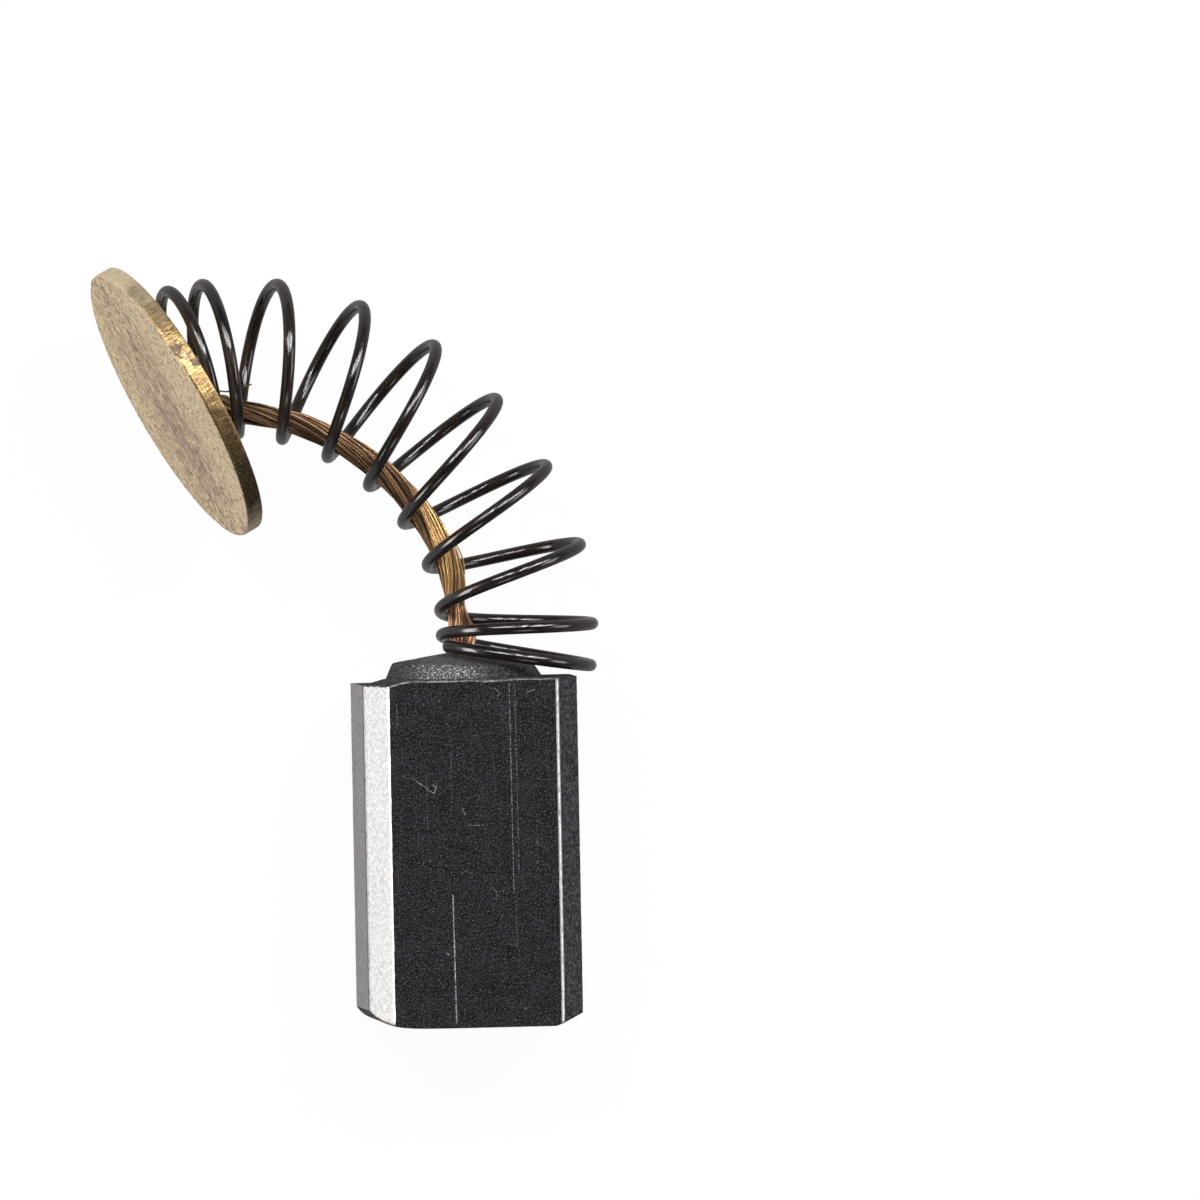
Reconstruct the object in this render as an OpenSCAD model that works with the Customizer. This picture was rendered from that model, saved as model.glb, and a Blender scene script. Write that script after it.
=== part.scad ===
// Carbon brush for a small universal motor: a moulded carbon block, a stranded
// pigtail pressed into its crown, a closed-end coil spring round the pigtail, and
// a brass contact disc at the free end. The block lies on one of its broad guide
// faces and the disc stands on its rim beside it, which bends the spring over.
// Origin: middle of the guide face that the block lies on. Y runs along the block,
// from the contact end to the crown, and Z is up.

/* [Carbon block] */
// Width across the narrow guide faces, along X
block_w = 7.0; // [5.6:0.1:9]
// Thickness between the broad guide faces, along Z
block_t = 6.0; // [5.4:0.1:8]
// Length from the contact end to the top face, along Y
block_h = 11.3; // [8:0.1:16]
// Width that each long chamfer takes off a broad face
chamfer_w = 0.75; // [0.2:0.05:1.2]
// Depth that each long chamfer takes off a narrow face
chamfer_t = 1.1; // [0.2:0.05:1.6]
// Radius of the worn-in corner of the contact end
worn_r = 1.1; // [0.3:0.05:1.6]
// Width of the bevel on the other corner of the contact end
bevel_w = 1.0; // [0.3:0.05:1.6]
// Height of that bevel
bevel_h = 0.4; // [0.1:0.05:1.2]

/* [Crown] */
// Diameter of the crown where it leaves the top face
crown_d = 5.1; // [4.4:0.05:5.3]
// Diameter of the shoulder above the steep flank
shoulder_d = 4.6; // [4:0.05:4.9]
// Height of the steep flank
flank_h = 0.48; // [0.2:0.02:0.9]
// Slope of the shallow cone above the shoulder, in degrees
cone_angle = 11; // [4:1:16]
// Diameter of the collar moulded round the pigtail
collar_d = 0.95; // [0.9:0.05:1.2]
// Height of the collar above the cone
collar_h = 0.12; // [0.05:0.01:0.2]

/* [Pigtail] */
// Depth to which the pigtail is pressed into the block
pigtail_depth = 4.5; // [2:0.1:7]
// Gap between the pigtail and its bore, on the radius
bore_gap = 0.015; // [0.01:0.005:0.03]
// Thickness of the strands, as a share of their usual size
pigtail_girth = 1.0; // [0.8:0.05:1.02]
// Clearance between the strands and the inside of the coils
coil_gap = 0.02; // [0.01:0.01:0.05]
// Diameter of the foot where the strands are welded to the disc
foot_d = 1.1; // [0.9:0.05:1.6]

/* [Contact disc] */
// Diameter of the disc
disc_d = 9.7; // [9.2:0.1:10.6]
// Thickness of the disc
disc_t = 0.55; // [0.4:0.05:1]
// Radius rolled on the edge of its outer face
disc_edge_r = 0.1; // [0.02:0.01:0.2]
// Direction that its outer face looks in, round Z from +X, in degrees
disc_turn = 208; // [205:1:211]
// How far its outer face looks up, in degrees
disc_lift = 8; // [5:1:10]
// Sideways place of the middle of its inner face, from the block's axis
disc_x = -9.16; // [-9.5:0.02:-8.9]
// Height of the middle of its inner face above the block's top face, along Y
disc_rise = 9.3; // [9:0.02:9.6]

/* [Spring] */
// Outer diameter of the coils
spring_d = 5.3; // [5.1:0.05:5.4]
// Diameter of the wire
wire_d = 0.4; // [0.3:0.02:0.5]
// Number of turns, counted from the middle of the bend's inner side
turns = 9.95; // [9.7:0.05:10.2]
// Turn at which the wire is cut at the block
first_turn = 0.05; // [0.02:0.01:0.12]
// Turns that stay closed at each end before the pitch opens up
closed_turns = 0.4; // [0.3:0.05:0.6]
// Turns over which the pitch then opens up at the block
block_ramp = 1.8; // [1.6:0.1:2.4]
// Turns over which the pitch closes again at the disc
disc_ramp = 2.0; // [1.6:0.1:2.6]
// Pitch of the closed turns, as a share of the wire's thickness
closed_pitch = 0.85; // [0.8:0.05:1.1]
// How far the spring sits beside the block's axis
spring_shift = 1.72; // [1.4:0.02:1.8]
// Tilt of the end coil on the crown, in degrees
block_tilt = 11; // [8:1:12]
// Tilt of the end coil against the disc, in degrees
disc_tilt = 13; // [9:1:15]
// Gap between an end coil and what it is seated on
seat_gap = 0.05; // [0.03:0.01:0.1]

/* [Hidden] */
$fn = 96;

// Shared places
up = [0, 0, 1];
axis_z = block_t / 2;
top_y = block_h / 2;

// Contact disc: outward normal, the level and upright directions in its plane
disc_n = [cos(disc_lift) * cos(disc_turn), cos(disc_lift) * sin(disc_turn), sin(disc_lift)];
disc_level = unit(cross(up, disc_n));
disc_upright = cross(disc_n, disc_level);
disc_z = disc_d / 2 * cos(disc_lift);
disc_back = [disc_x, top_y + disc_rise, disc_z];

// Spring: wire sides and rings, seats, and how its route bows out
wire_sides = 12;
rings_a_turn = 28;
coil_r = (spring_d - wire_d) / 2;
block_lean = -0.19;
disc_sideways = -0.83;
disc_below = -0.99;
bow_start = [0.77, 5.84, 0];
bow_end = [5.19, 1.34, 0.57];
settle_turns = 2;
route_steps = 100;

// Pigtail: share of the spring's route that it has passed, its lean across the coils
// and upwards as shares of the room inside them, and its diameter. It leans on the
// inner side of the bend, is pinched above the crown and rises to the disc's middle.
pigtail_sides = 10;
rings_a_span = 3;
pigtail_d = 0.72;
pigtail_points = [
    [0.04, -0.98, -0.06, 0.72],
    [0.06, -0.99, -0.1, 0.64],
    [0.09, -0.98, -0.15, 0.54],
    [0.12, -0.98, -0.18, 0.52],
    [0.16, -0.99, -0.13, 0.58],
    [0.20, -0.99, -0.05, 0.64],
    [0.24, -0.99, -0.04, 0.66],
    [0.28, -0.99, -0.03, 0.68],
    [0.33, -0.99, -0.06, 0.68],
    [0.39, -0.99, -0.09, 0.70],
    [0.44, -0.99, -0.07, 0.68],
    [0.49, -0.99, -0.05, 0.68],
    [0.55, -0.99, -0.05, 0.68],
    [0.61, -0.99, -0.06, 0.66],
    [0.68, -0.99, -0.06, 0.66],
    [0.76, -0.99, 0, 0.66],
    [0.84, -0.97, 0.09, 0.68],
    [0.91, -0.90, 0.26, 0.68],
    [0.96, -0.72, 0.43, 0.70]
];

// Vectors and curves
function unit(v) = v / norm(v);
function mix(a, b, w) = a * (1 - w) + b * w;
function smooth(x) = let (c = max(0, min(1, x))) c * c * (3 - 2 * c);

function bezier(p, u) =
    (1 - u) ^ 3 * p[0] + 3 * (1 - u) ^ 2 * u * p[1] + 3 * (1 - u) * u ^ 2 * p[2] + u ^ 3 * p[3];

function bezier_way(p, u) =
    (1 - u) ^ 2 * (p[1] - p[0]) + 2 * (1 - u) * u * (p[2] - p[1]) + u ^ 2 * (p[3] - p[2]);

function catmull(a, b, c, d, u) =
    (2 * b + (c - a) * u + (2 * a - 5 * b + 4 * c - d) * u ^ 2 + (3 * b - a - 3 * c + d) * u ^ 3) / 2;

// Height of the crown's cone above the top face, at a distance from its axis
function cone_h(r) = flank_h + (shoulder_d / 2 - r) * tan(cone_angle);

// Point on a coil whose plane has the normal `way`, at an angle from the outer side
function coil_point(way, angle) =
    let (out = unit(cross(way, up)))
    coil_r * (cos(angle) * out + sin(angle) * cross(out, way));

// Angle round the coil at turn t; the wire starts and ends on the inner side
function coil_angle(t) = 180 - 360 * t;

// Spring seats: the cut end rests on the crown, and the last coil on the disc
block_way = unit([tan(block_tilt), 1, 0]);
disc_way = unit(disc_n + tan(disc_tilt) * [disc_n[1], -disc_n[0], 0]);
first_point = coil_point(block_way, coil_angle(first_turn));
first_r = norm([spring_shift + first_point[0], first_point[2]]);
spring_start = [
    spring_shift,
    top_y + cone_h(first_r) + wire_d / 2 / cos(cone_angle) + seat_gap - first_point[1],
    axis_z
];
disc_reach = coil_point(disc_way, coil_angle(turns)) * disc_n;
spring_end = disc_back - disc_n * (wire_d / 2 + seat_gap + disc_reach)
    + disc_level * disc_sideways + disc_upright * disc_below;
route = [spring_start, spring_start + bow_start, spring_end + bow_end, spring_end];

// Distance along the route, so that the pitch is spent evenly on its length
route_points = [for (i = [0 : route_steps]) bezier(route, i / route_steps)];
route_lengths = [
    for (i = 0, s = 0; i <= route_steps;
        s = s + (i < route_steps ? norm(route_points[i + 1] - route_points[i]) : 0), i = i + 1) s
];
route_table = [for (i = [0 : route_steps]) [route_lengths[i], i / route_steps]];

// Full pitches gained by turn t of an end that stays closed and then opens evenly over `ramp` turns
function opened(t, ramp) = let (q = max(0, t - closed_turns)) q < ramp ? q ^ 2 / (2 * ramp) : q - ramp / 2;

// The same, by turn t, between the two closed ends
function gained(t) = opened(t, block_ramp) - t + opened(turns, disc_ramp) - opened(turns - t, disc_ramp);

// Distance along the route at turn t: every turn travels the closed pitch, and the rest of the
// route's length is spent on the open ones
function travelled(t) =
    let (closed = closed_pitch * wire_d)
    closed * t + (route_lengths[route_steps] - closed * turns) * gained(t) / gained(turns);

function route_place(t) = lookup(travelled(t), route_table);

// Normal of the coil's plane: square to the route, and settled on the seat at each end
function coil_way(t) =
    let (w = bezier_way(route, route_place(t)))
    let (free = unit([w[0] / norm([w[0], w[1]]), w[1] / norm([w[0], w[1]]), block_lean * (1 - t / turns)]))
    let (at_block = mix(free, block_way, smooth(1 - t / settle_turns)))
    unit(mix(at_block, disc_way, smooth(1 - (turns - t) / settle_turns)));

function wire_centre(t) = bezier(route, route_place(t)) + coil_point(coil_way(t), coil_angle(t));

// Place of the pigtail inside the coils, for one row of pigtail_points
function pigtail_place(p) =
    let (way = unit(bezier_way(route, p[0])), across = unit(cross(way, up)))
    let (room = coil_r - wire_d / 2 - coil_gap - p[3] / 2 * pigtail_girth)
    bezier(route, p[0]) + room * (p[1] * across + p[2] * cross(across, way));

// Ring of points round `centre`, square to `way`, with `side` as its first direction
function ring(centre, way, side, r, sides) =
    let (a = unit(side - way * (side * way)))
    let (b = cross(way, a))
    [for (k = [0 : sides - 1]) centre + r * (cos(360 * k / sides) * a + sin(360 * k / sides) * b)];

// Skin over a row of rings, in triangles, closed by a flat face at each end
module skin(rings) {
    sides = len(rings[0]);
    last = len(rings) - 1;
    walls = [
        for (i = [0 : last - 1], k = [0 : sides - 1])
            let (a = i * sides + k, b = i * sides + (k + 1) % sides)
            each [[a, a + sides, b], [b, a + sides, b + sides]]
    ];
    start_cap = [for (k = [0 : sides - 1]) k];
    end_cap = [for (k = [sides - 1 : -1 : 0]) last * sides + k];
    polyhedron(points = [for (r = rings, p = r) p], faces = concat([start_cap, end_cap], walls));
}

// Cross-section of the block, seen along Y: four long chamfers
module block_section() {
    x = block_w / 2;
    z = block_t / 2;
    polygon([
        [x, z - chamfer_t], [x - chamfer_w, z], [chamfer_w - x, z], [-x, z - chamfer_t],
        [-x, chamfer_t - z], [chamfer_w - x, -z], [x - chamfer_w, -z], [x, chamfer_t - z]
    ]);
}

// Outline of the block, seen from the front: a worn corner and a bevelled one
module block_outline() {
    x = block_w / 2;
    y = block_h / 2;
    polygon([[worn_r - x, -y], [x - bevel_w, -y], [x, bevel_h - y], [x, y], [-x, y], [-x, worn_r - y]]);
    translate([worn_r - x, worn_r - y]) intersection() {
        circle(r = worn_r);
        translate([-worn_r, -worn_r]) square(worn_r * 1.5);
    }
}

// Section of the crown: steep flank, shallow cone and the collar's fillet
module crown_section() {
    cone_top = cone_h(collar_d / 2);
    sunk = 0.2;
    polygon([
        [0, -sunk], [crown_d / 2, -sunk], [crown_d / 2, 0], [shoulder_d / 2, flank_h],
        [collar_d / 2 + 2 * collar_h, cone_h(collar_d / 2 + 2 * collar_h)],
        [collar_d / 2 + collar_h / 2, cone_top + collar_h / 3],
        [collar_d / 2, cone_top + collar_h], [0, cone_top + collar_h]
    ]);
}

module carbon_block() {
    color("#2b2b2e")
    difference() {
        union() {
            intersection() {
                translate([0, top_y, axis_z]) rotate([90, 0, 0]) linear_extrude(block_h) block_section();
                linear_extrude(block_t) block_outline();
            }
            translate([0, top_y, axis_z]) rotate([-90, 0, 0]) rotate_extrude() crown_section();
        }
        translate([0, top_y - pigtail_depth, axis_z]) rotate([-90, 0, 0])
            cylinder(h = pigtail_depth + block_h, d = pigtail_d * pigtail_girth + 2 * bore_gap);
    }
}

// Each ring takes its first direction from the coil's own middle, so the skin doesn't twist
module spring() {
    step = 1 / rings_a_turn;
    count = round((turns - first_turn) / step);
    span = (turns - first_turn) / count;
    color("#2e2a28")
    skin([
        for (i = [0 : count])
            let (t = first_turn + i * span)
            let (way = unit(wire_centre(t + step / 8) - wire_centre(t - step / 8)))
            ring(wire_centre(t), way, coil_point(coil_way(t), coil_angle(t)), wire_d / 2, wire_sides)
    ]);
}

module pigtail() {
    collar_top = cone_h(collar_d / 2) + collar_h;
    embedded = [
        for (h = [bore_gap - pigtail_depth, collar_top - 0.35, collar_top + 0.05])
            [0, top_y + h, axis_z, pigtail_d]
    ];
    free = [for (p = pigtail_points) concat(pigtail_place(p), p[3])];
    foot_h = 0.5;
    weld = [for (h = [foot_h, foot_h / 3, 0])
        concat(disc_back - disc_n * h, h == foot_h ? pigtail_d : foot_d)];
    stops = concat(embedded, free, weld);
    last = len(stops) - 1;
    path = [
        for (i = [0 : last - 1], k = [0 : rings_a_span - 1])
            catmull(stops[max(i - 1, 0)], stops[i], stops[i + 1], stops[min(i + 2, last)], k / rings_a_span),
        stops[last]
    ];
    color("#8a6238")
    skin([
        for (i = [0 : len(path) - 1])
            let (here = path[i], next = path[min(i + 1, len(path) - 1)], back = path[max(i - 1, 0)])
            let (way = unit([next[0] - back[0], next[1] - back[1], next[2] - back[2]]))
            ring([here[0], here[1], here[2]], i == 0 ? [0, 1, 0] : i == len(path) - 1 ? disc_n : way,
                up, here[3] / 2 * pigtail_girth, pigtail_sides)
    ]);
}

module contact_disc() {
    color("#c3ad7c")
    translate(disc_back) rotate([0, 90 - disc_lift, disc_turn])
        rotate_extrude() {
            square([disc_d / 2 - disc_edge_r, disc_t]);
            square([disc_d / 2, disc_t - disc_edge_r]);
            translate([disc_d / 2 - disc_edge_r, disc_t - disc_edge_r]) circle(disc_edge_r, $fn = 32);
        }
}

carbon_block();
spring();
pigtail();
contact_disc();
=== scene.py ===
import bpy
import numpy as np
from mathutils import Matrix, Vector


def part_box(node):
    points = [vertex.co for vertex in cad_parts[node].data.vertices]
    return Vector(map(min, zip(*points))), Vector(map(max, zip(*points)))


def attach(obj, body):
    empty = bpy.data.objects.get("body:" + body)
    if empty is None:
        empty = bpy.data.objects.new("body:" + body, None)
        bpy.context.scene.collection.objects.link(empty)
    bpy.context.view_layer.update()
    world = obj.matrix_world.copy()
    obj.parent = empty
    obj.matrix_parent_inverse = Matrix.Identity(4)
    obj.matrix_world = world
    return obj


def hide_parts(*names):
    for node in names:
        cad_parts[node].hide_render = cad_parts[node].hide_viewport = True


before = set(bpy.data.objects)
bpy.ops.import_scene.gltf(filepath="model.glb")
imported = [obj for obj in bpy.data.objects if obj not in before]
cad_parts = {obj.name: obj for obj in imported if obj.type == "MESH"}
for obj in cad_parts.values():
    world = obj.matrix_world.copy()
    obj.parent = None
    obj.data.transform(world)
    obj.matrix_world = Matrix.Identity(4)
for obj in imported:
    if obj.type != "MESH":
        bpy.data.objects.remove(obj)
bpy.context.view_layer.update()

# All shapes are worked out in millimetres; buildPiece turns them into metres.
millimetre = 0.001
upward = np.array([0, 0, 1])


def unit(v):
    return v / np.linalg.norm(v, axis=-1, keepdims=True)


# Smooth step: 0 below 0, 1 above 1, and 3x^2 - 2x^3 between.
def smooth(x):
    c = np.clip(x, 0, 1)
    return c * c * (3 - 2 * c)


# Random number from -1 to 1 for each whole-numbered lattice corner.
def latticeValue(cell, seed):
    key = (cell @ np.array([374761393, 668265263, 362437]) + seed * 974711) & 0xFFFFFFFF
    for shift, factor in ((13, 1274126177), (16, 1103515245)):
        key = ((key ^ (key >> shift)) * factor) & 0xFFFFFFFF
    return (key ^ (key >> 15)) / 2 ** 31 - 1


# Noise: the random values at the corners of each unit cell, blended smoothly across it.
def noise(points, seed):
    cell = np.floor(points).astype(np.int64)
    part = points - cell
    weight = part * part * (3 - 2 * part)
    total = np.zeros(points.shape[:-1])
    for corner in range(8):
        step = np.array([corner & 1, corner >> 1 & 1, corner >> 2 & 1])
        near = np.where(step == 1, weight, 1 - weight)
        total += latticeValue(cell + step, seed) * np.prod(near, axis=-1)
    return total


# Noise at points given by three numbers, each a value or an array.
def noiseAt(x, y, z, seed):
    return noise(np.stack(np.broadcast_arrays(x, y, z), -1), seed)


# Noise on one or two numbers, with a stretch for each.
def noiseOf(a, b, stretchA, stretchB, seed):
    return noiseAt(a * stretchA, b * stretchB, 0.37, seed)


# Four-cornered faces between neighbouring rows and columns; the last column meets the first.
def tubeFaces(rows, columns):
    i, k = np.meshgrid(np.arange(rows - 1), np.arange(columns), indexing="ij")
    a = i * columns + k
    b = i * columns + (k + 1) % columns
    return np.stack([a, b, b + columns, a + columns], -1).reshape(-1, 4)


# Closed shell over rows of points: the rows' faces, and a fan to the middle of each end row. A
# shell whose volume comes out negative is turned outwards.
def closedShell(rows):
    count, columns = rows.shape[:2]
    points = np.concatenate([rows.reshape(-1, 3), rows[0].mean(0)[None], rows[-1].mean(0)[None]])
    quads = tubeFaces(count, columns)
    k = np.arange(columns)
    after = (k + 1) % columns
    last = (count - 1) * columns
    fans = np.concatenate([
        np.stack([np.full(columns, count * columns), after, k], -1),
        np.stack([np.full(columns, count * columns + 1), last + k, last + after], -1),
    ])
    a, b, c, d = (points[quads[:, corner]] for corner in range(4))
    volume = (a * np.cross(b, c)).sum() + (a * np.cross(c, d)).sum()
    if volume < 0:
        quads, fans = quads[:, ::-1], fans[:, ::-1]
    return points, quads, fans


def addObject(name, data):
    made = bpy.data.objects.new(name, data)
    bpy.context.scene.collection.objects.link(made)
    return made


# Piece of the object from a shell in millimetres, with its material and its values per point.
def buildPiece(name, shell, material, values):
    points, quads, fans = shell
    mesh = bpy.data.meshes.new(name)
    mesh.from_pydata((points * millimetre).tolist(), [], quads.tolist() + fans.tolist())
    mesh.polygons.foreach_set("use_smooth", np.ones(len(mesh.polygons), bool))
    for key, value in values.items():
        kind, part = ("FLOAT", "value") if value.ndim == 1 else ("FLOAT_COLOR", "color")
        numbers = value if value.ndim == 1 else np.c_[value, np.ones(len(value))]
        attribute = mesh.attributes.new(key, kind, "POINT")
        attribute.data.foreach_set(part, numbers.astype(np.float32).ravel())
    mesh.update()
    piece = addObject(name, mesh)
    mesh.materials.append(material)
    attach(piece, "root")
    print(name, len(points), "points,", len(quads) * 2 + len(fans), "triangles")
    return piece


# Inputs of a shader node: each is a value or another node's output.
def feed(tree, node, inputs):
    for key, value in inputs.items():
        if isinstance(value, bpy.types.NodeSocket):
            tree.links.new(value, node.inputs[key])
        else:
            node.inputs[key].default_value = value


def addNode(tree, kind, inputs=None, **settings):
    made = tree.nodes.new("ShaderNode" + kind)
    for key, value in settings.items():
        setattr(made, key, value)
    feed(tree, made, inputs or {})
    return made


def newMaterial(name):
    material = bpy.data.materials.new(name)
    material.use_nodes = True
    tree = material.node_tree
    return material, tree, tree.nodes["Principled BSDF"]


def stored(tree, name, output="Fac"):
    return addNode(tree, "Attribute", attribute_name=name).outputs[output]


def maths(tree, operation, first, second=0, clamp=False):
    given = {0: first, 1: second}
    return addNode(tree, "Math", given, operation=operation, use_clamp=clamp).outputs[0]


def times(tree, first, second, clamp=False):
    return maths(tree, "MULTIPLY", first, second, clamp)


# How far a value lies from a middle one.
def awayFrom(tree, value, middle):
    return maths(tree, "ABSOLUTE", maths(tree, "ADD", value, -middle))


# Value moved from one range to another and held inside it.
def ranged(tree, value, low, high, toLow=0, toHigh=1, kind="LINEAR"):
    given = {"Value": value, "From Min": low, "From Max": high, "To Min": toLow, "To Max": toHigh}
    return addNode(tree, "MapRange", given, interpolation_type=kind).outputs["Result"]


# Mask that rises over one range of a value and falls over another.
def between(tree, value, rising, falling):
    return times(tree, ranged(tree, value, *rising), ranged(tree, value, *falling))


def blendValue(tree, factor, first, second):
    return addNode(tree, "Mix", {0: factor, 2: first, 3: second}).outputs[0]


def blendColour(tree, factor, first, second):
    ends = [end if isinstance(end, bpy.types.NodeSocket) else (*end, 1) for end in (first, second)]
    given = {"Factor": factor, 6: ends[0], 7: ends[1]}
    return addNode(tree, "Mix", given, data_type="RGBA").outputs[2]


# Colour with another laid over it where a mask shows, as strongly as given.
def laidOver(tree, colour, mask, strength, shade):
    return blendColour(tree, times(tree, mask, strength), colour, shade)


def stretched(tree, place, scale):
    return addNode(tree, "Mapping", {"Vector": place, "Scale": scale}).outputs[0]


# Noise, at one scale or at one for each direction.
def noised(tree, place, scale=1, detail=3, roughness=0.6):
    if isinstance(scale, tuple):
        place, scale = stretched(tree, place, scale), 1
    given = {"Vector": place, "Scale": scale, "Detail": detail, "Roughness": roughness}
    return addNode(tree, "TexNoise", given).outputs["Fac"]


def bumped(tree, shader, height, strength, distance):
    made = addNode(tree, "Bump", {"Height": height, "Strength": strength, "Distance": distance})
    tree.links.new(made.outputs[0], shader.inputs["Normal"])


# Empty node group with named inputs and one mask to put out.
def newGroup(name, inputs):
    group = bpy.data.node_groups.new(name, "ShaderNodeTree")
    for key, value in inputs.items():
        kind = "NodeSocketVector" if value is None else "NodeSocketFloat"
        socket = group.interface.new_socket(key, in_out="INPUT", socket_type=kind)
        if value is not None:
            socket.default_value = value
    group.interface.new_socket("Mask", in_out="OUTPUT", socket_type="NodeSocketFloat")
    wanted = group.nodes.new("NodeGroupOutput").inputs["Mask"]
    return group, group.nodes.new("NodeGroupInput").outputs, wanted


# Flecks: noise above a threshold, softened over a narrow band.
def makeFlecksGroup():
    inputs = {"Place": None, "Scale": 10, "Detail": 2, "From": 0.6, "To": 0.7}
    group, given, wanted = newGroup("flecks", inputs)
    pattern = noised(group, given["Place"], given["Scale"], given["Detail"])
    group.links.new(ranged(group, pattern, given["From"], given["To"], kind="SMOOTHSTEP"), wanted)
    return group


# Line mask: 1 on the straight stretch between two ends, fading to 0 at its half width.
def makeLineGroup():
    group, given, wanted = newGroup("line", {"Place": None, "Start": None, "End": None, "Wide": 0.1})

    def vector(operation, first, second):
        return addNode(group, "VectorMath", {0: first, 1: second}, operation=operation).outputs

    reach = vector("SUBTRACT", given["End"], given["Start"])[0]
    arm = vector("SUBTRACT", given["Place"], given["Start"])[0]
    passed = vector("DOT_PRODUCT", arm, reach)["Value"]
    share = maths(group, "DIVIDE", passed, vector("DOT_PRODUCT", reach, reach)["Value"], clamp=True)
    nearest = addNode(group, "VectorMath", {0: reach, "Scale": share}, operation="SCALE")
    away = vector("DISTANCE", arm, nearest.outputs[0])["Value"]
    group.links.new(ranged(group, away, given["Wide"], 0, kind="SMOOTHSTEP"), wanted)
    return group


flecksGroup, lineGroup = makeFlecksGroup(), makeLineGroup()


def flecks(tree, place, scale, low, high, detail=2):
    if isinstance(scale, tuple):
        place, scale = stretched(tree, place, scale), 1
    given = {"Place": place, "Scale": scale, "Detail": detail, "From": low, "To": high}
    return addNode(tree, "Group", given, node_tree=flecksGroup).outputs["Mask"]


# ---- view
viewLook = {
    "turn": 6.5, "pitch": 1.75, "roll": 1.1,  # degrees between the block's front and the view
    "fieldMm": 38.88, "distanceMm": 900, "sensorMm": 36,
    "middle": (3.993, 8.220),  # middle of the view from the block's front middle, across and up, in mm
}


# Turn by an angle in the plane of two axes, from the first towards the second.
def turnBetween(degrees, first, second):
    made = np.eye(3)
    made[first, first] = made[second, second] = np.cos(np.radians(degrees))
    made[second, first] = np.sin(np.radians(degrees))
    made[first, second] = -made[second, first]
    return made


# The view's axes: the object turned about Y, then X, then Z.
def viewAxes(look):
    tilted = turnBetween(look["roll"], 0, 1) @ turnBetween(look["pitch"], 1, 2)
    return tilted @ turnBetween(look["turn"], 2, 0)


# Matrix that turns X, Y and Z to three axes and moves them to a place.
def matrixOf(axes, place):
    matrix = np.eye(4)
    matrix[:3, :3] = np.transpose(axes)
    matrix[:3, 3] = place
    return Matrix(matrix.tolist())


def makeCamera(look):
    axes = viewAxes(look)
    blockFront = np.array([0, 0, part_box("carbon_block")[1].z / millimetre])
    target = blockFront + axes[0] * look["middle"][0] + axes[1] * look["middle"][1]
    camera = bpy.data.cameras.new("viewCamera")
    camera.sensor_width = look["sensorMm"]
    camera.lens = look["sensorMm"] * look["distanceMm"] / look["fieldMm"]
    camera.clip_start, camera.clip_end = 0.05, 5
    holder = addObject("viewCamera", camera)
    holder.matrix_world = matrixOf(axes, (target + axes[2] * look["distanceMm"]) * millimetre)
    bpy.context.scene.camera = holder


makeCamera(viewLook)
print("view set")

# ---- light
lampLook = {
    # name: direction from the object, distance, size across, size along, radiance, colour
    "left": ((-0.97, -0.02, 0.20), 0.26, 0.26, 0.10, 6.9, (1, 0.985, 0.965)),
    "right": ((0.86, -0.03, 0.50), 0.30, 0.16, 0.12, 3.2, (1, 1, 1)),
    "front": ((0.10, -0.80, 0.60), 0.34, 0.10, 0.05, 5, (1, 1, 1)),
}
for number, across in enumerate((-0.56, -0.27, 0.06, 0.34, 0.62)):  # a row of small bright lamps behind
    lampLook["row%d" % number] = ((across, 0.50, 0.80), 0.34, 0.034, 0.15, 18, (1, 1, 1))
worldLook = {
    "overhead": 0.03, "level": 0.14,  # light of the surroundings, from straight up and from the sides
    "floor": 0.32, "plain": 0.96,  # the sheet as metal mirrors it, and how little shadow it keeps
    "floorHalf": 0.6, "floorLow": -0.00001, "paper": (0.88, 0.88, 0.88, 1), "white": (1, 1, 1, 1),
    "lampsAround": (-0.002, 0.006, 0.004),
}


# Lamps stand round the object and face it: a lamp's power is its radiance times its area times pi.
def makeLamps():
    for name, (way, distance, across, along, radiance, colour) in lampLook.items():
        lamp = bpy.data.lights.new(name + "Lamp", "AREA")
        lamp.shape = "RECTANGLE"
        lamp.size, lamp.size_y = across, along
        lamp.energy = radiance * across * along * np.pi
        lamp.color = colour
        holder = addObject(name + "Lamp", lamp)
        back = unit(np.array(way, float))
        side = unit(np.cross(upward, back))
        place = back * distance + np.array(worldLook["lampsAround"])
        holder.matrix_world = matrixOf([side, np.cross(back, side), back], place)
        holder.visible_camera = False


# World: white behind the object, and dim on it, dimmest from above.
def makeWorld():
    world = bpy.data.worlds.new("studio")
    bpy.context.scene.world = world
    world.use_nodes = True
    tree = world.node_tree
    seen = addNode(tree, "LightPath").outputs["Is Camera Ray"]
    sky = addNode(tree, "TexCoord").outputs["Generated"]
    height = addNode(tree, "SeparateXYZ", {"Vector": sky}).outputs["Z"]
    lit = ranged(tree, height, 0.1, 0.9, worldLook["level"], worldLook["overhead"])
    strength = blendValue(tree, seen, lit, 1)
    feed(tree, tree.nodes["Background"], {"Color": worldLook["white"], "Strength": strength})


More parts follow.
